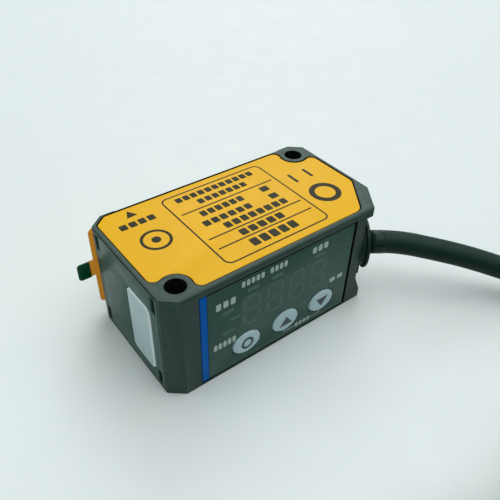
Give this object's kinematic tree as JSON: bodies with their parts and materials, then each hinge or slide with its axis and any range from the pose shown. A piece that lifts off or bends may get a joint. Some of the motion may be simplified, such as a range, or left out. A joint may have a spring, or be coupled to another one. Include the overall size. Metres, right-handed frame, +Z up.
{
  "type": "laser displacement sensor",
  "caption": "Compact block-shaped laser distance sensor with display keys on one face, a filmed beam window on the opposite face, diagonal mounting holes and a corner cable.",
  "frame": {"origin": "middle of the housing's base face", "axes": "+X along the display face towards the cable end, +Y from the display face to the beam face, +Z up from the base to the label face"},
  "size_m": [0.079, 0.1128, 0.0222],
  "materials": {
    "coated_metal": "semi-matt dark grey-green coat",
    "pane_plastic": "satin",
    "seal_rubber": "matt",
    "window_glass": "polished, dark filter",
    "amber_film": "clear amber film",
    "tab_film": "printed film",
    "label_film": "printed film",
    "panel_film": "smooth dark overlay",
    "strip_film": "smooth",
    "black_plastic": "matt",
    "key_plastic": "satin",
    "board_laminate": "solder mask",
    "digit_plastic": "dark red face",
    "pale_plastic": "matt",
    "flex_film": "amber film",
    "lead_plastic": "insulation in five colours",
    "bench_metal": "as cast",
    "screw_steel": "plated",
    "barrel_brass": "turned",
    "lens_glass": "polished",
    "mirror_glass": "front coated",
    "cable_jacket": "satin"
  },
  "bodies": {
    "body": {"housing": "coated_metal", "end_cover": "coated_metal", "end_pane": "pane_plastic", "end_gasket": "seal_rubber", "beam_window": "window_glass", "window_gasket": "seal_rubber", "protective_film": "amber_film", "pull_tab": "tab_film", "label_plate": "label_film", "display_panel": "panel_film", "accent_strip": "strip_film", "panel_carrier": "black_plastic", "key_switches": "black_plastic", "display_board": "board_laminate", "digit_display": "digit_plastic", "indicator_leds": "pale_plastic", "board_flex": "flex_film", "main_board": "board_laminate", "controller_chip": "black_plastic", "wire_connector": "pale_plastic", "inner_leads": "lead_plastic", "optical_bench": "bench_metal", "bench_screws": "screw_steel", "board_screws": "screw_steel", "laser_barrel": "barrel_brass", "collimating_lens": "lens_glass", "laser_diode": "barrel_brass", "receiver_lens": "lens_glass", "fold_mirror": "mirror_glass", "sensor_board": "board_laminate", "image_sensor": "black_plastic", "cable_gland": "cable_jacket", "cable": "cable_jacket", "cable_hank": "cable_jacket", "cable_end": "cable_jacket", "hank_ties": "black_plastic", "lead_wires": "lead_plastic"},
    "set_button": {"set_key": "key_plastic"},
    "up_button": {"up_key": "key_plastic"},
    "down_button": {"down_key": "key_plastic"}
  },
  "joints": [
    {"name": "set_press", "type": "slide", "parent": "body", "child": "set_button", "axis": [0, 1, 0], "range_m": [0, 0.0003], "stiffness_N_per_m": 5000},
    {"name": "up_press", "type": "slide", "parent": "body", "child": "up_button", "axis": [0, 1, 0], "range_m": [0, 0.0003], "stiffness_N_per_m": 5000},
    {"name": "down_press", "type": "slide", "parent": "body", "child": "down_button", "axis": [0, 1, 0], "range_m": [0, 0.0003], "stiffness_N_per_m": 5000}
  ]
}
